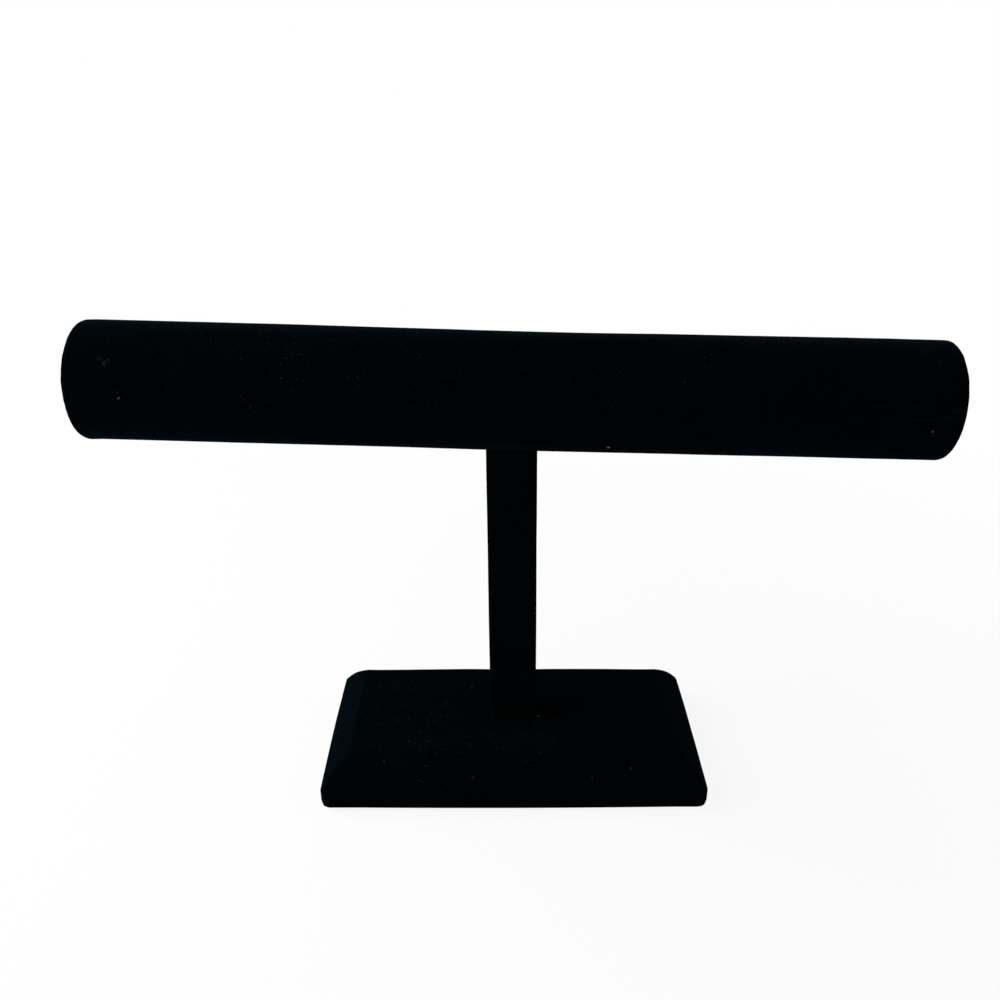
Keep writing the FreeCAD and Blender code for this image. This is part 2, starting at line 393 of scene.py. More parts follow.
def ranged(tree, value, low, high, to_low=0.0, to_high=1.0):
    """A value mapped from one range to another, clamped."""
    return add(
        tree, "ShaderNodeMapRange",
        {"Value": value, "From Min": low, "From Max": high,
         "To Min": to_low, "To Max": to_high},
    ).outputs[0]


def blend(tree, share, first, second):
    """The mix of two colours."""
    return add(
        tree, "ShaderNodeMix", {0: share, 6: first, 7: second}, data_type="RGBA"
    ).outputs[2]


def mix_shaders(tree, share, first, second):
    """The mix of two shaders."""
    return add(
        tree, "ShaderNodeMixShader", {0: share, 1: first.outputs[0], 2: second.outputs[0]}
    )


def bump(tree, height, strength, distance, under=None):
    """The normal that a height gives, on top of another normal."""
    inputs = {"Height": height, "Strength": strength, "Distance": distance}
    if under is not None:
        inputs["Normal"] = under
    return add(tree, "ShaderNodeBump", inputs).outputs[0]


def specks(tree, place, density, size, share):
    """Small specks of random strength, in a share of the cells of a pattern."""
    cells = add(tree, "ShaderNodeTexVoronoi", {"Vector": place, "Scale": density})
    near = ranged(tree, cells.outputs["Distance"], size * density, size * density * 0.4)
    chance = add(tree, "ShaderNodeSeparateColor", {0: cells.outputs["Color"]})
    chosen = maths(tree, "LESS_THAN", chance.outputs[0], share)
    strength = maths(tree, "POWER", chance.outputs[1], 3.0)
    return maths(tree, "MULTIPLY", maths(tree, "MULTIPLY", near, chosen), strength)


def from_spot(tree, place, spot, half_sizes):
    """How far a place is from a spot, 1 at the given half sizes on each axis."""
    off = combine(tree, "SUBTRACT", place, spot)[0]
    shares = combine(tree, "DIVIDE", off, half_sizes)[0]
    return combine(tree, "LENGTH", shares)["Value"]


# Lint and smudges on the velvet: place, half sizes, strength
BASE_DUST = ((-0.03, -0.008, 0.02), (0.045, 0.024, 0.012), 0.3)
POST_DUST = ((0.0, 0.0, 0.02), (0.02, 0.02, 0.02), 0.06)
BAR_DUST = ((-0.05, -0.01, 0.172), (0.11, 0.025, 0.02), 0.13)
BASE_MARKS = (
    ((0.0104, -0.0053, 0.0200), (0.0006, 0.0008, 0.004), 0.5),
    ((-0.0172, 0.0148, 0.0202), (0.0005, 0.0007, 0.004), 0.14),
    ((-0.0274, 0.0039, 0.0202), (0.0005, 0.0007, 0.004), 0.1),
    ((-0.0333, -0.0223, 0.0202), (0.0005, 0.0007, 0.004), 0.08),
    ((-0.0408, -0.0222, 0.0202), (0.0006, 0.0008, 0.004), 0.09),
    ((-0.0500, -0.0312, 0.0177), (0.0005, 0.0006, 0.002), 0.1),
    ((-0.0158, -0.0355, 0.0125), (0.0006, 0.0006, 0.002), 0.1),
    ((0.0452, -0.0332, 0.0155), (0.0005, 0.0006, 0.002), 0.1),
)
BAR_MARKS = (
    ((-0.1399, -0.0121, 0.1715), (0.0013, 0.003, 0.0007), 0.035),
    ((-0.1379, -0.0133, 0.1702), (0.0010, 0.003, 0.0009), 0.055),
    ((-0.1366, -0.0128, 0.1710), (0.0010, 0.003, 0.0006), 0.035),
    ((-0.1338, -0.0167, 0.1610), (0.0004, 0.003, 0.0004), 0.07),
    ((-0.1337, -0.0169, 0.1590), (0.0008, 0.003, 0.0005), 0.9),
    ((0.0325, -0.0144, 0.1402), (0.0007, 0.003, 0.0006), 1.3),
    ((0.1407, -0.0227, 0.1488), (0.0006, 0.003, 0.0006), 0.3),
    ((0.1220, -0.0221, 0.1579), (0.0050, 0.003, 0.0011), 0.009),
    ((0.1340, -0.0225, 0.1573), (0.0045, 0.003, 0.0006), 0.010),
    ((0.1365, -0.0230, 0.1531), (0.0060, 0.003, 0.0008), 0.012),
    ((0.1440, -0.0231, 0.1536), (0.0035, 0.003, 0.0010), 0.014),
    ((0.1472, -0.0230, 0.1561), (0.0022, 0.003, 0.0012), 0.014),
    ((0.1390, -0.0088, 0.1729), (0.0024, 0.004, 0.0010), 0.012),
    ((0.1425, -0.0140, 0.1703), (0.0010, 0.004, 0.0016), 0.012),
)
# The velvet's patterns, in features to the metre
TUFTS, FIBRES, FRAY, SMUDGES, DUST_PATCHES = 1500, 2600, 1400, 1100, 60
FRAYED = 0.0004  # how far the outline of a speck or smudge strays
# Specks of lint: cells to the metre, size, share of the cells that have one
FINE_LINT, COARSE_LINT = (800, 0.00028, 0.95), (170, 0.00036, 0.6)


def velvet(name, colours, nap, dust, marks=()):
    """Black velvet: a deep pile brushed this way and that, with lint on it.

    nap is the scale of the brushed patches on each axis, dust the place, half sizes
    and strength of the area where most fine lint lies, and marks are lint and
    smudges at places of their own, in the same form.
    """
    material, tree, shader = new_material(name)
    place = here(tree)
    brushed = clouds(tree, here(tree, nap), 1, 3, 0.55, 0.6)
    mottled = clouds(tree, place, TUFTS, 3, 0.6)
    pile = clouds(tree, place, FIBRES, 2, 0.6)
    lie = maths(
        tree, "ADD",
        ranged(tree, brushed, 0.32, 0.7, 0, 0.35),
        ranged(tree, mottled, 0.4, 0.66, 0, 0.65),
    )
    cloth = blend(tree, lie, tuple(colours.deep), tuple(colours.raised))
    cloth = blend(tree, ranged(tree, pile, 0.4, 0.62, 0, 0.6), cloth, tuple(colours.deep))
    fray = add(tree, "ShaderNodeTexNoise", {"Vector": place, "Scale": FRAY}).outputs[1]
    ragged = combine(
        tree, "ADD", place, combine(tree, "MULTIPLY", fray, (FRAYED,) * 3)[0]
    )[0]
    middle_of, half_sizes, strength = dust
    patches = clouds(tree, place, DUST_PATCHES, 2, 0.5, 0.8)
    settled = maths(
        tree, "MULTIPLY",
        ranged(tree, from_spot(tree, place, middle_of, half_sizes), 1.8, 0.5, 0.22, 1),
        ranged(tree, patches, 0.38, 0.62, 0.3 * strength, strength),
    )
    lint = maths(
        tree, "ADD",
        maths(tree, "MULTIPLY", specks(tree, ragged, *FINE_LINT), settled),
        maths(tree, "MULTIPLY", specks(tree, ragged, *COARSE_LINT), strength),
        clamp=True,
    )
    for spot, half_sizes, strength in marks:
        smudge = maths(
            tree, "MULTIPLY",
            ranged(tree, from_spot(tree, ragged, spot, half_sizes), 1, 0.4, 0, strength),
            ranged(tree, clouds(tree, place, SMUDGES, 2), 0.3, 0.55),
        )
        lint = maths(tree, "ADD", lint, smudge, clamp=True)
    tufts = maths(tree, "ADD", maths(tree, "MULTIPLY", mottled, 1.4), pile)
    feed(tree, shader, {
        "Base Color": blend(tree, lint, cloth, tuple(colours.lint)),
        "Normal": bump(tree, lint, 0.6, 0.0002, bump(tree, tufts, 0.5, 0.0003)),
        "Roughness": 0.9, "Specular IOR Level": 0,
        "Sheen Weight": 0.02, "Sheen Roughness": 0.3, "Sheen Tint": (0.45, 0.8, 1, 1),
    })
    return material


def felt(name, tint):
    """Pressed felt: matted fibres in a dark sheet."""
    material, tree, shader = new_material(name)
    fibres = clouds(tree, here(tree, (900, 260, 900), (0, 0, 0.6)), 1, 3, 0.6, 1.5)
    crossed = clouds(tree, here(tree, (240, 980, 900), (0, 0, -0.4)), 1, 3, 0.6, 1.5)
    matted = maths(tree, "MAXIMUM", fibres, crossed)
    pale = tuple(min(1, 2.6 * c) for c in tint[:3]) + (1,)
    shade = ranged(tree, matted, 0.45, 0.8)
    feed(tree, shader, {
        "Base Color": blend(tree, shade, tuple(tint), pale),
        "Normal": bump(tree, matted, 0.7, 0.0003),
        "Roughness": 0.95, "Specular IOR Level": 0.1, "Sheen Weight": 0.05,
    })
    return material


def fibreboard(name):
    """Pressed brown fibreboard: fine chips and darker dust."""
    material, tree, shader = new_material(name)
    chips = clouds(tree, here(tree, (1, 1, 2.4)), 900, 4, 0.7)
    stain = clouds(tree, here(tree), 60, 3, 0.5)
    wood = blend(
        tree, ranged(tree, chips, 0.3, 0.7), (0.23, 0.15, 0.085, 1), (0.46, 0.33, 0.2, 1)
    )
    wood = blend(tree, ranged(tree, stain, 0.4, 0.8, 0, 0.35), wood, (0.3, 0.2, 0.12, 1))
    lifted = bump(tree, chips, 0.3, 0.0002)
    feed(tree, shader, {"Base Color": wood, "Normal": lifted, "Roughness": 0.8})
    return material


def softwood(name):
    """Pale softwood with its grain up the post."""
    material, tree, shader = new_material(name)
    rings = add(
        tree, "ShaderNodeTexWave",
        {"Vector": here(tree, (1, 1, 0.06), (0.03, 0.02, 0)), "Scale": 90.0, "Distortion": 4.0,
         "Detail": 3.0, "Detail Scale": 1.6},
        wave_type="RINGS", rings_direction="Z",
    ).outputs["Fac"]
    pores = clouds(tree, here(tree, (1, 1, 0.05)), 1800, 2)
    wood = blend(
        tree, ranged(tree, rings, 0.2, 0.9), (0.66, 0.48, 0.29, 1), (0.47, 0.3, 0.15, 1)
    )
    wood = blend(tree, ranged(tree, pores, 0.5, 0.75, 0, 0.4), wood, (0.34, 0.21, 0.1, 1))
    lifted = bump(tree, pores, 0.3, 0.0001)
    feed(tree, shader, {"Base Color": wood, "Normal": lifted, "Roughness": 0.7})
    return material


def paperboard(name, light, dark, turn, pitch):
    """Paperboard: pulp fibres, with the edge of its wound ply every pitch, or none."""
    material, tree, shader = new_material(name)
    pulp = clouds(tree, here(tree, (1, 0.35, 1)), 1500, 4, 0.65)
    paper = blend(tree, ranged(tree, pulp, 0.3, 0.7), dark, light)
    lifted = bump(tree, pulp, 0.25, 0.0001)
    if pitch:
        plies = add(
            tree, "ShaderNodeTexWave",
            {"Vector": here(tree, (1, 1, 1), turn), "Scale": 0.31 / pitch},
            bands_direction="X", wave_profile="SAW",
        ).outputs["Fac"]
        edge = ranged(tree, plies, 0.97, 1.0)
        paper = blend(tree, edge, paper, tuple(0.5 * c for c in dark[:3]) + (1,))
        lifted = bump(tree, edge, 0.6, 0.0003, lifted)
    feed(tree, shader, {"Base Color": paper, "Normal": lifted, "Roughness": 0.85})
    return material


def foam(name):
    """Grey wrapping foam with open pores."""
    material, tree, shader = new_material(name)
    pores = add(
        tree, "ShaderNodeTexVoronoi", {"Vector": here(tree), "Scale": 1500.0}
    ).outputs["Distance"]
    cells = ranged(tree, pores, 0.2, 0.7)
    feed(tree, shader, {
        "Base Color": blend(tree, cells, (0.3, 0.3, 0.31, 1), (0.62, 0.62, 0.62, 1)),
        "Normal": bump(tree, cells, 0.8, 0.0003),
        "Roughness": 0.9,
    })
    return material


def plated_steel(name):
    """Zinc-plated steel, slightly clouded and scratched."""
    material, tree, shader = new_material(name)
    bloom = clouds(tree, here(tree), 500, 3)
    scratches = clouds(tree, here(tree, (1, 1, 0.1)), 5000, 2)
    clouded = ranged(tree, bloom, 0.3, 0.7)
    feed(tree, shader, {
        "Base Color": blend(tree, clouded, (0.5, 0.52, 0.56, 1), (0.72, 0.72, 0.7, 1)),
        "Normal": bump(tree, scratches, 0.2, 0.00005),
        "Roughness": ranged(tree, scratches, 0.3, 0.7, 0.25, 0.5),
        "Metallic": 1,
    })
    return material


# Pieces


def cover_ripple(cloth, place, normal, seed, share=1.0):
    """How the stretched velvet wanders at a place: long swells and small ones."""
    swell = wander(place, 0.034, seed) + 0.35 * wander(place, 0.009, seed + 5)
    return normal * (cloth.ripple * share * swell)


def make_base_velvet(sizes, cloth, colours):
    """Velvet over the base, from the hem underneath, over the sides and bevels to the top."""
    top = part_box("base_cover")[1].z
    open_width, open_depth = sizes.width - 2 * sizes.hem, sizes.depth - 2 * sizes.hem
    top_width, top_depth = sizes.width - 2 * sizes.run, sizes.depth - 2 * sizes.run
    half_width, half_depth = sizes.width / 2, sizes.depth / 2
    step = 0.0026
    clear()
    bpy.ops.mesh.primitive_plane_add(size=1, location=(0, 0, 0))
    piece = begin("base_velvet")
    bpy.ops.transform.resize(value=(open_width, open_depth, 1))
    bpy.ops.transform.translate(value=(0, 0, sizes.bottom))
    extrude((0, 0, 0), (sizes.width / open_width, sizes.depth / open_depth, 1))
    extrude((0, 0, sizes.lip - sizes.bottom))
    extrude((0, 0, top - sizes.lip), (top_width / sizes.width, top_depth / sizes.depth, 1))
    pick(piece, "FACE", lambda face: face.calc_center_median().z < sizes.bottom * 1.5
         and max(abs(v.co.x) for v in face.verts) < open_width / 2 + NEAR)
    bpy.ops.mesh.delete(type="FACE")

    def radius_of(edge):
        place = mid(edge)
        at_side = abs(place.x) > half_width - NEAR or abs(place.y) > half_depth - NEAR
        if place.z < sizes.bottom + NEAR and not at_side:
            return 0
        if place.z < sizes.bottom + NEAR:
            return sizes.fold
        upright = abs(place.x) > half_width - NEAR and abs(place.y) > half_depth - NEAR
        return sizes.corner if upright else sizes.edge

    round_edges(piece, radius_of, segments=5)

    def across_mitre(place):
        return (abs(place.x) - open_width / 2) - (abs(place.y) - open_depth / 2)

    def on_mitre(edge):
        return all(
            abs(place.z - sizes.bottom) < NEAR and abs(across_mitre(place)) < 2 * NEAR
            and abs(place.x) > open_width / 2 - NEAR
            for place in [v.co for v in edge.verts] + [mid(edge)]
        )

    def off_mitre(place):
        away = Vector((math.copysign(1, place.x), -math.copysign(1, place.y), 0))
        return away.normalized() * math.copysign(1, across_mitre(place))

    open_seam(piece, on_mitre, off_mitre, cloth.seam)
    score(X, steps(-half_width, half_width, step))
    score(Y, steps(-half_depth, half_depth, step))
    score(Z, steps(sizes.bottom + sizes.fold, sizes.lip, step))
    score(Z, steps(sizes.lip, top, step))
    point_out(piece, lambda face: face.normal.z > 0 if face.calc_center_median().z > sizes.lip
              else face.normal.z < 0.5)
    post = middle("base_screw")
    flat_round_post, fade = 0.014, 0.02
    hip_width, bow_width, bow_depth, hem_fade = 0.005, 0.06, 0.04, 0.0004

    def move(place, normal):
        from_post = math.hypot(place.x, place.y - post.y)
        clear_of_post = smooth((from_post - flat_round_post) / fade)
        off_ground = smooth((place.z - sizes.bottom) / sizes.fold)
        up = min(1, max(0, (place.z - sizes.lip) / (top - sizes.lip)))
        on_hip = (half_width - abs(place.x)) - (half_depth - abs(place.y))
        hip = math.exp(-((on_hip / hip_width) ** 2)) * math.sin(math.pi * up)
        bow = max(0, 1 - (place.x / bow_width) ** 2)
        bow += abs(normal.x) * max(0, 1 - (place.y / bow_depth) ** 2)
        crown = sizes.crown * (smooth(2 * up) + 0.4 * math.sin(math.pi * up) + bow)
        out = (cloth.pile + crown + sizes.fullness * hip) * max(clear_of_post, 1 - up)
        shift = normal * (out * smooth((place.z - sizes.bottom) / hem_fade))
        shift += cover_ripple(cloth, place, normal, 3.0, clear_of_post * off_ground)
        shift.z = max(shift.z, sizes.bottom - 1.5 * cloth.pile - place.z)
        return shift

    settle(piece, move)
    thicken(piece, cloth.velvet)
    material = velvet("Velvet of the base", colours, (34, 60, 60), BASE_DUST, BASE_MARKS)
    finish(piece, material)
    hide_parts("base_cover")


def make_base_felt(sizes, colours):
    """Felt glued under the base, over the hem and up onto the board."""
    width, depth = sizes.width - 2 * sizes.inset, sizes.depth - 2 * sizes.inset
    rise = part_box("base_lining")[1].z - sizes.felt
    inner_width, inner_depth = sizes.width - 2 * sizes.hem, sizes.depth - 2 * sizes.hem
    corner, step = 0.0015, 0.0022
    clear()
    bpy.ops.mesh.primitive_plane_add(size=1, location=(0, 0, 0))
    piece = begin("base_felt")
    bpy.ops.transform.resize(value=(width, depth, 1))
    bpy.ops.mesh.select_all(action="SELECT")
    bpy.ops.mesh.bevel(offset=corner, segments=4, affect="VERTICES")
    score(X, steps(-width / 2, width / 2, step))
    score(Y, steps(-depth / 2, depth / 2, step))
    point_out(piece, lambda face: face.normal.z < 0)
    screw = middle("base_screw")
    off_hem, ramp = 0.0004, 0.0022
    screw_head, sunk = 0.0035, 0.0001
    wave, swelling = 0.012, 0.00006

    def move(place, _normal):
        inside = min(inner_width / 2 - abs(place.x), inner_depth / 2 - abs(place.y))
        share = smooth((inside - off_hem) / ramp)
        dimple = sunk * math.exp(-((place - screw).to_2d().length / screw_head) ** 2)
        swell = swelling * abs(wander(place, wave, 9)) * share
        return Z * (rise * share - swell + dimple)

    settle(piece, move)
    thicken(piece, sizes.felt)
    finish(piece, felt("Felt under the base", colours.felt))
    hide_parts("base_lining")


def make_post_velvet(sizes, bar, cloth, colours):
    """Velvet round the post, butted down the back and turned under the foot."""
    place = post_place(sizes)
    bar_frame = bar_place()
    off_glue, uncut = 0.00002, 0.74  # uncut: top below the bar's axis, in tube radii
    high, wide = 0.0022, 0.0018  # mesh steps up and across
    bare, ramp = 0.0004, 0.006
    half, foot = sizes.side / 2, cloth.glue + off_glue
    top = (bar_frame.translation - place.translation).length - bar.tube * uncut
    clear()
    bpy.ops.mesh.primitive_cube_add(size=1, location=(0, 0, 0))
    piece = begin("post_velvet")
    bpy.ops.transform.resize(value=(sizes.side, sizes.side, top - foot))
    bpy.ops.transform.translate(value=(0, 0, (top + foot) / 2))
    pick(piece, "FACE", lambda face: face.normal.z > 0.5)
    bpy.ops.mesh.delete(type="FACE")
    pick(piece, "FACE", lambda face: face.normal.z < -0.5)
    bpy.ops.mesh.inset(thickness=sizes.hem + cloth.velvet)
    bpy.ops.mesh.delete(type="FACE")
    round_edges(
        piece,
        lambda edge: sizes.edge * (max(abs(mid(edge).x), abs(mid(edge).y)) > half - NEAR),
        segments=5,
    )
    score(X, [0])
    open_seam(
        piece,
        lambda edge: all(abs(v.co.x) < NEAR and v.co.y > 0 and v.co.z > foot + sizes.edge
                         for v in edge.verts),
        lambda near: X * math.copysign(1, near.x),
        cloth.seam,
    )
    score(Z, steps(foot + sizes.edge, top, high))
    score(X, steps(sizes.edge - half, half - sizes.edge, wide))
    score(Y, steps(sizes.edge - half, half - sizes.edge, wide))
    point_out(piece, outward((1, 1, 0)))

    def move(here_is, normal):
        share = smooth((here_is.z - foot - bare) / ramp)
        pile = normal * (cloth.pile * share)
        return pile + cover_ripple(cloth, here_is, normal, 21.0, 0.8 * share)

    settle(piece, move)
    thicken(piece, cloth.velvet)
    only(piece)
    piece.data.transform(place)
    clear()
    bpy.ops.mesh.primitive_cylinder_add(
        vertices=bar.sides, radius=bar.tube + cloth.glue, depth=bar.length / 4,
        rotation=(0, math.pi / 2, 0),
    )
    seat = bpy.context.object
    seat.data.transform(bar_frame @ seat.matrix_basis)
    seat.matrix_basis = Matrix.Identity(4)
    cut_away(piece, seat)
    material = velvet("Velvet of the post", colours, (60, 60, 26), POST_DUST)
    finish(piece, material)
    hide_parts("post_cover")


def post_form(post, clearance):
    """A closed form of the post with a clearance, for the opening that it comes up through."""
    clear()
    bpy.ops.mesh.primitive_cube_add(size=1, location=(0, 0, 0))
    form = begin("post_form")
    side = post.side + 2 * clearance
    tall, level = 0.04, 0.11
    bpy.ops.transform.resize(value=(side, side, tall))
    bpy.ops.transform.translate(value=(0, 0, level))

    def radius_of(edge):
        upright = abs(edge.verts[0].co.z - edge.verts[1].co.z) > tall / 2
        return (post.edge + clearance) * upright

    round_edges(form, radius_of, segments=6)
    only(form)
    form.data.transform(post_place(post))
    return form


def open_round_post(piece, post, cloth):
    """Puts cloth of the bar in its place and cuts its opening for the post."""
    only(piece)
    piece.data.transform(bar_place())
    cut_away(piece, post_form(post, post.clearance + cloth.pile))


def open_underside(piece, cloth):
    """Opens the butt seam along the underside of cloth round the bar."""
    open_seam(
        piece,
        lambda edge: all(abs(v.co.y) < NEAR and v.co.z < 0 for v in edge.verts),
        lambda near: Y * math.copysign(1, near.y), cloth.seam,
    )


def roll(centre_x, centre_r, radius, start, stop, count):
    """Places (x, distance from the axis) round an arc, without its first one."""
    places = []
    for i in range(1, count + 1):
        angle = math.radians(start + (stop - start) * i / count)
        x, r = radius * math.cos(angle), radius * math.sin(angle)
        places.append((centre_x + x, centre_r + r))
    return places


def extrude_round(side, x, r, places):
    """Extrudes a ring about the X axis from one (x, distance from the axis) to others."""
    for next_x, next_r in places:
        grow = next_r / r
        extrude((side * (next_x - x), 0, 0), (1, grow, grow), (side * next_x, 0, 0))
        x, r = next_x, next_r


def make_sleeve(name, half, radius, ends, sides):
    """A sleeve round the X axis, with the same turned end at both ends."""
    clear()
    bpy.ops.mesh.primitive_cylinder_add(
        vertices=sides, radius=radius, depth=2 * half, end_fill_type="NOTHING",
    )
    piece = begin(name)
    bpy.ops.transform.rotate(value=math.pi / 2, orient_axis="Y", center_override=(0, 0, 0))
    for side in (1, -1):
        pick(piece, "EDGE", lambda edge: all(v.co.x * side > half - NEAR for v in edge.verts))
        extrude_round(side, half, radius, ends)
    return piece


def bar_sag(bar, place):
    """How far the padded cloth lies off its straight form: pulled down over the post."""
    lowest, spread = 0.008, 0.056
    pulled = math.exp(-(((place.x - lowest) / spread) ** 2))
    pulled *= 1 + 0.3 * place.z / bar.radius
    from_middle = abs(place.x) * 2 / bar.length
    return Z * bar.sag * (0.3 * from_middle ** 4 - pulled)


def make_bar_foam(bar, post, cloth):
    """Foam round the tube, butted along the underside and open round the post."""
    half = bar.length / 2 - cloth.velvet - 2 * cloth.glue
    outside = bar.radius - cloth.velvet - cloth.glue
    thickness = outside - bar.tube - cloth.glue
    ends = roll(half - thickness, outside - thickness, thickness, 90, 30, 3)
    sides, step, pressed = 96, 0.008, 0.55
    piece = make_sleeve("bar_foam", half - thickness, outside, ends, sides)
    score(X, steps(thickness - half, half - thickness, step))
    open_underside(piece, cloth)
    point_out(piece, outward((0, 1, 1)))
    settle(piece, lambda place, _normal: bar_sag(bar, place))
    thicken(piece, thickness * pressed)
    open_round_post(piece, post, cloth)
    finish(piece, foam("Foam round the tube"))
    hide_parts("bar_padding")


def make_bar_velvet(bar, post, cloth, colours):
    """Velvet round the bar, gathered over both ends into the mouths of the tube."""
    half, rim = bar.length / 2, bar.rim
    roll_in, step = 0.0009, 0.0036
    ends = roll(half - rim, bar.radius - rim, rim, 90, 0, 7)
    inner = bar.mouth + roll_in
    ends += [(half, bar.radius - rim - (bar.radius - rim - inner) * i / 3) for i in (1, 2, 3)]
    ends += roll(half - roll_in, inner, roll_in, 0, -90, 4)
    ends += [(half - roll_in - bar.hem * i / 4, bar.mouth) for i in (1, 2, 3, 4)]
    piece = make_sleeve("bar_velvet", half - rim, bar.radius, ends, bar.sides)
    score(X, steps(rim - half, half - rim, step))
    open_underside(piece, cloth)
    is_outward = outward((0, 1, 1))
    point_out(
        piece,
        lambda face: face.calc_center_median().yz.length > bar.radius - LOOSE
        and is_outward(face),
    )
    in_mouth, mouth_fade = 0.0002, 0.001
    end_fade, face_fade, end_swell = 0.006, 0.0012, 0.0001
    # Fullness of the left end below and above, as photographed, and of the right end
    left_below, left_above, right = 2.5, -2.0, 0.2

    def move(place, normal):
        side = math.copysign(1, place.x)
        outside = smooth((place.yz.length - bar.mouth - in_mouth) / mouth_fade)
        at_end = smooth(1 - (half - abs(place.x)) / end_fade) * outside
        turn = Vector((place.z, place.y, side * 2 * bar.radius)) / bar.radius
        gathers = 0.7 * wander(turn, 0.26, 4) + 0.4 * wander(turn, 0.09, 8)
        full = (left_below if place.z < 0 else left_above) if place.x < 0 else right
        full *= (place.z / bar.radius) ** 2
        out = cloth.pile * outside + bar.gather * at_end * (gathers + full)
        swell = cover_ripple(cloth, place, normal, 11.0, outside)
        on_face = outside * smooth((bar.radius - 0.75 * rim - place.yz.length) / face_fade)
        pleat = math.sin(bar.pleats * math.atan2(place.y, place.z) + 6 * wander(turn, 0.9, 2))
        pleat *= bar.gather * on_face * (1 + wander(turn, 0.3, 6))
        along = X * side * (end_swell * outside + pleat)
        return bar_sag(bar, place) + swell + normal * out + along

    settle(piece, move)
    thicken(piece, cloth.velvet)
    open_round_post(piece, post, cloth)
    material = velvet("Velvet of the bar", colours, (26, 60, 60), BAR_DUST, BAR_MARKS)
    finish(piece, material)
    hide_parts("bar_cover")


def make_end_velvet(side, bar, cloth, material):
    """Velvet over a plug: a slightly domed face, its edge and the cloth round the disc."""
    name = "right" if side > 0 else "left"
    radius = bar.mouth - cloth.glue
    face_x = bar.length / 2 - bar.recess
    corner, dome = 0.0006, 0.00022
    sides, rings = 96, 9
    clear()
    bpy.ops.mesh.primitive_circle_add(vertices=sides, radius=radius, fill_type="NGON")
    piece = begin("end_velvet_" + name)
    bpy.ops.transform.rotate(value=math.pi / 2, orient_axis="Y", center_override=(0, 0, 0))
    bpy.ops.transform.resize(value=(1, (radius - corner) / radius, (radius - corner) / radius))
    bpy.ops.transform.translate(value=(face_x, 0, 0))
    for _ in range(rings):
        bpy.ops.mesh.inset(thickness=radius / (rings + 1.5))
    bpy.ops.mesh.poke()
    pick(piece, "EDGE", lambda edge: edge.is_boundary)
    back = cloth.velvet + cloth.glue + bar.disc
    edge = [(face_x - depth, radius) for depth in (0.0016, 0.0026, back)]
    rounded = roll(face_x - corner, radius - corner, corner, 0, 90, 4)
    extrude_round(1, face_x, radius - corner, rounded + edge)
    is_outward = outward((0, 1, 1))
    point_out(
        piece,
        lambda face: face.normal.x > 0.5 if face.calc_center_median().x > face_x - LOOSE
        else is_outward(face),
    )

    def move(place, normal):
        on_face = place.x > face_x - LOOSE
        share = on_face * max(0, 1 - (place.yz.length / radius) ** 2)
        ripple = cover_ripple(cloth, place * side, normal, 30.0 + side, 0.6 * share)
        return X * (dome * share) + ripple

    settle(piece, move)
    thicken(piece, cloth.velvet)
    only(piece)
    if side < 0:
        piece.data.transform(Matrix.Rotation(math.pi, 4, "Z"))
    finish(piece, material, bar_place())
    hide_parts("end_cover_" + name)


def make_inner_finishes():
    """The materials of the solids that the cloth hides."""
    looks = {
        "base_board": fibreboard("Fibreboard of the base"),
        "post_block": softwood("Softwood of the post"),
        "bar_tube": paperboard(
            "Wound paperboard", (0.46, 0.34, 0.22, 1), (0.3, 0.21, 0.13, 1), (0, 0, 0.9), 0.05
        ),
        "end_disc_left": paperboard(
            "Grey board of the plugs", (0.36, 0.34, 0.31, 1), (0.24, 0.22, 0.2, 1), (0, 0, 0), 0
        ),
        "base_screw": plated_steel("Plated steel"),
    }
    looks["end_disc_right"] = looks["end_disc_left"]
    looks["bar_screw"] = looks["bar_washer"] = looks["base_screw"]
    for node, material in looks.items():
        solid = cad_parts[node]
        solid.data.materials.clear()
        solid.data.materials.append(material)
    left_over = [
        name for name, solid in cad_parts.items()
        if name not in looks and not solid.hide_render
    ]
    if left_over:
        raise RuntimeError(f"no finish for {left_over}")



# The camera in metres, degrees and millimetres, and each lamp's place, size and watts
CAMERA_PLACE = (-0.006695, -0.341149, 0.264343)
CAMERA_DOWN, CAMERA_RIGHT, CAMERA_LENS, CAMERA_SHIFT = 25.91, 0.23, 36.05, 0.0366
LAMPS = (
    ("key", (-0.85, 0.08, 0.62), 0.9, 15.0),
    ("front", (-0.6, -0.65, 0.45), 0.8, 1.1),
    ("fill", (0.9, 0.05, 0.22), 0.36, 1.8),
)
AIM = Vector((0, 0, 0.09))
WHITE = (1, 1, 1, 1)


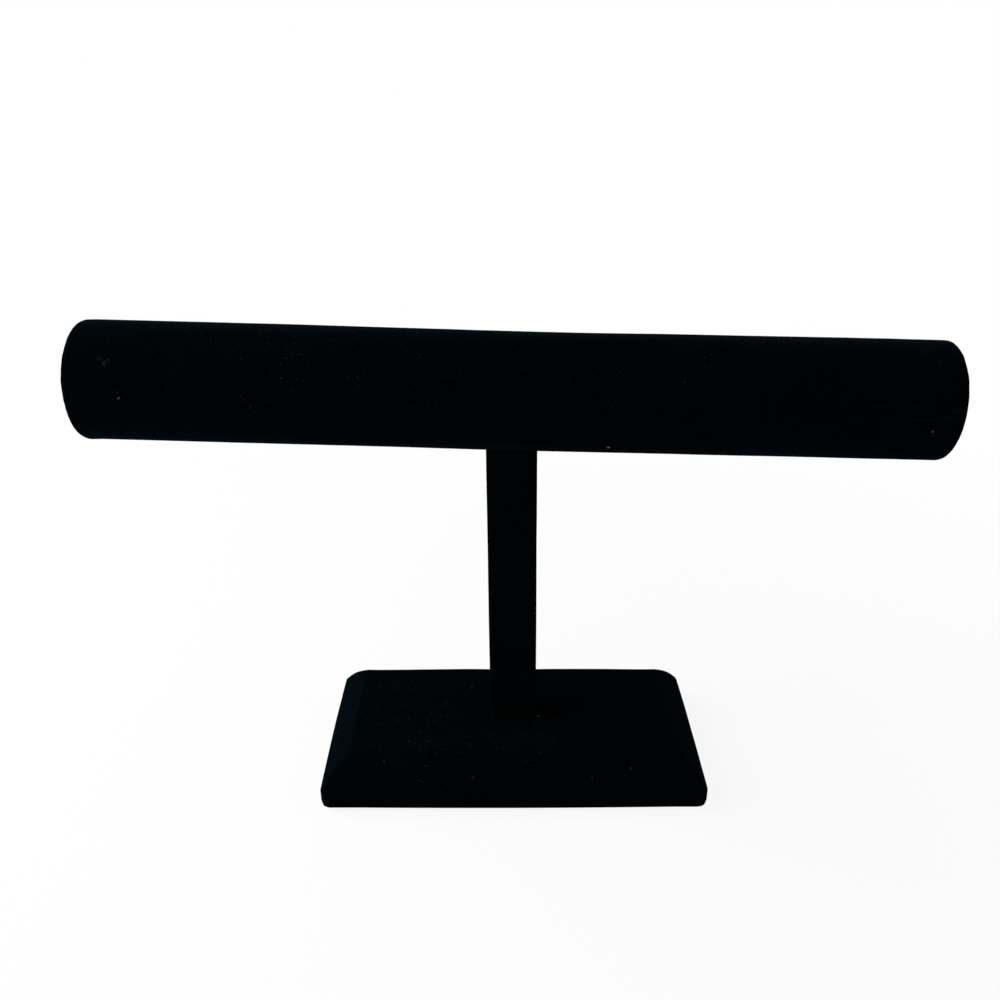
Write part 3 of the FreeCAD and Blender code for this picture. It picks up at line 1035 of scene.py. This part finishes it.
def make_stage(base, colours):
    """A pale floor open under the base, a white surround, three lamps and the camera."""
    scene = bpy.context.scene
    clear()
    bpy.ops.mesh.primitive_plane_add(size=8, location=(0, 0, 0))
    floor = begin("floor")
    inset, lowered = 0.008, 0.00002
    half_width, half_depth = base.width / 2 - inset, base.depth / 2 - inset
    score(X, (-half_width, half_width))
    score(Y, (-half_depth, half_depth))
    pick(floor, "FACE", lambda face: face.calc_center_median().xy.length < half_depth)
    bpy.ops.mesh.delete(type="FACE")
    only(floor)
    floor.data.transform(Matrix.Translation(Z * -lowered))
    floor.data.materials.append(floor_material(colours))

    scene.world = bpy.data.worlds.new("Surround")
    scene.world.use_nodes = True
    tree = scene.world.node_tree
    seen = seen_directly(tree)
    light = tree.nodes["Background"]
    feed(tree, light, {"Color": WHITE, "Strength": 0.18})
    white = add(tree, "ShaderNodeBackground", {"Color": WHITE, "Strength": 1.0})
    mixed = mix_shaders(tree, seen, light, white)
    feed(tree, tree.nodes["World Output"], {"Surface": mixed.outputs[0]})

    for name, place, size, energy in LAMPS:
        clear()
        bpy.ops.object.light_add(type="AREA", location=place)
        lamp = bpy.context.object
        lamp.name = name
        lamp.data.size = size
        lamp.data.energy = energy
        lamp.rotation_euler = (AIM - Vector(place)).to_track_quat("-Z", "Y").to_euler()

    clear()
    bpy.ops.object.camera_add(
        location=CAMERA_PLACE,
        rotation=(math.radians(90 - CAMERA_DOWN), 0, math.radians(-CAMERA_RIGHT)),
    )
    camera = bpy.context.object
    camera.name = "camera"
    camera.data.sensor_width = 36
    camera.data.lens = CAMERA_LENS
    camera.data.shift_y = CAMERA_SHIFT
    camera.data.clip_start = 0.01
    scene.camera = camera
    scene.view_settings.view_transform = "Standard"


def seen_directly(tree):
    """1 where the camera sees a surface, or a reflection or refraction of it, else 0."""
    path = tree.nodes.new("ShaderNodeLightPath").outputs
    return maths(
        tree, "MAXIMUM", path["Is Camera Ray"],
        maths(tree, "MAXIMUM", path["Is Glossy Ray"], path["Is Transmission Ray"]),
    )


def floor_material(colours):
    """White to the camera far away, and with the stand's soft shadow near it.

    From below it is clear, so that the underside shows.
    """
    material, tree, shader = new_material("Floor")
    feed(tree, shader, {
        "Base Color": tuple(colours.floor), "Roughness": 1, "Specular IOR Level": 0,
    })
    near, far, whitened = 0.15, 0.5, 0.9
    away = combine(tree, "LENGTH", here(tree))["Value"]
    faded = ranged(tree, away, near, far, whitened, 1)
    share = maths(tree, "MULTIPLY", seen_directly(tree), faded)
    white = add(tree, "ShaderNodeEmission", {"Color": WHITE, "Strength": 1.0})
    lit = mix_shaders(tree, share, shader, white)
    below = tree.nodes.new("ShaderNodeNewGeometry").outputs["Backfacing"]
    through = tree.nodes.new("ShaderNodeBsdfTransparent")
    mixed = mix_shaders(tree, below, lit, through)
    feed(tree, tree.nodes["Material Output"], {"Surface": mixed.outputs[0]})
    return material


# Operators, one for each piece or group of like pieces and one for the stage


class STAND_OT_base_velvet(bpy.types.Operator):
    """Cover the base in velvet"""

    bl_idname = "stand.base_velvet"
    bl_label = "Base velvet"

    def execute(self, context):
        scene = context.scene
        make_base_velvet(scene.stand_base, scene.stand_cloth, scene.stand_colours)
        return {"FINISHED"}


class STAND_OT_base_felt(bpy.types.Operator):
    """Glue the felt under the base"""

    bl_idname = "stand.base_felt"
    bl_label = "Base felt"

    def execute(self, context):
        scene = context.scene
        make_base_felt(scene.stand_base, scene.stand_colours)
        return {"FINISHED"}


class STAND_OT_post_velvet(bpy.types.Operator):
    """Cover the post in velvet"""

    bl_idname = "stand.post_velvet"
    bl_label = "Post velvet"

    def execute(self, context):
        scene = context.scene
        make_post_velvet(
            scene.stand_post, scene.stand_bar, scene.stand_cloth, scene.stand_colours
        )
        return {"FINISHED"}


class STAND_OT_bar_foam(bpy.types.Operator):
    """Wrap the tube in foam"""

    bl_idname = "stand.bar_foam"
    bl_label = "Bar foam"

    def execute(self, context):
        scene = context.scene
        make_bar_foam(scene.stand_bar, scene.stand_post, scene.stand_cloth)
        return {"FINISHED"}


class STAND_OT_bar_velvet(bpy.types.Operator):
    """Cover the bar in velvet"""

    bl_idname = "stand.bar_velvet"
    bl_label = "Bar velvet"

    def execute(self, context):
        scene = context.scene
        make_bar_velvet(
            scene.stand_bar, scene.stand_post, scene.stand_cloth, scene.stand_colours
        )
        return {"FINISHED"}


class STAND_OT_end_velvet(bpy.types.Operator):
    """Cover the plugs at both ends of the bar in velvet"""

    bl_idname = "stand.end_velvet"
    bl_label = "End velvet"

    def execute(self, context):
        scene = context.scene
        material = velvet("Velvet of the ends", scene.stand_colours, (60, 60, 60), BAR_DUST)
        for side in (-1, 1):
            make_end_velvet(side, scene.stand_bar, scene.stand_cloth, material)
        return {"FINISHED"}


class STAND_OT_inner_finishes(bpy.types.Operator):
    """Finish the solids inside the cloth: boards, wood, tube and screws"""

    bl_idname = "stand.inner_finishes"
    bl_label = "Inner finishes"

    def execute(self, context):
        make_inner_finishes()
        return {"FINISHED"}


class STAND_OT_stage(bpy.types.Operator):
    """Set up the floor, the light and the camera"""

    bl_idname = "stand.stage"
    bl_label = "Stage"

    def execute(self, context):
        make_stage(context.scene.stand_base, context.scene.stand_colours)
        return {"FINISHED"}


OPERATORS = (
    STAND_OT_base_velvet, STAND_OT_base_felt, STAND_OT_post_velvet, STAND_OT_bar_foam,
    STAND_OT_bar_velvet, STAND_OT_end_velvet, STAND_OT_inner_finishes, STAND_OT_stage,
)


class STAND_PT_stand(bpy.types.Panel):
    """The stand's pieces, sizes and colours"""

    bl_idname = "STAND_PT_stand"
    bl_label = "Bracelet stand"
    bl_space_type = "VIEW_3D"
    bl_region_type = "UI"
    bl_category = "Stand"

    def draw(self, context):
        for operator in OPERATORS:
            self.layout.operator(operator.bl_idname)
        for name, group in GROUPS.items():
            box = self.layout.box()
            for size in group.__annotations__:
                box.prop(getattr(context.scene, name), size)


CLASSES = (*GROUPS.values(), *OPERATORS, STAND_PT_stand)


def register():
    for made in CLASSES:
        bpy.utils.register_class(made)
    for name, group in GROUPS.items():
        setattr(bpy.types.Scene, name, PointerProperty(type=group))


def unregister():
    for name in GROUPS:
        delattr(bpy.types.Scene, name)
    for made in reversed(CLASSES):
        bpy.utils.unregister_class(made)


def main():
    register()
    bpy.ops.stand.base_velvet()
    bpy.ops.stand.base_felt()
    bpy.ops.stand.post_velvet()
    bpy.ops.stand.bar_foam()
    bpy.ops.stand.bar_velvet()
    bpy.ops.stand.end_velvet()
    bpy.ops.stand.inner_finishes()
    bpy.ops.stand.stage()


if __name__ == "__main__":
    main()
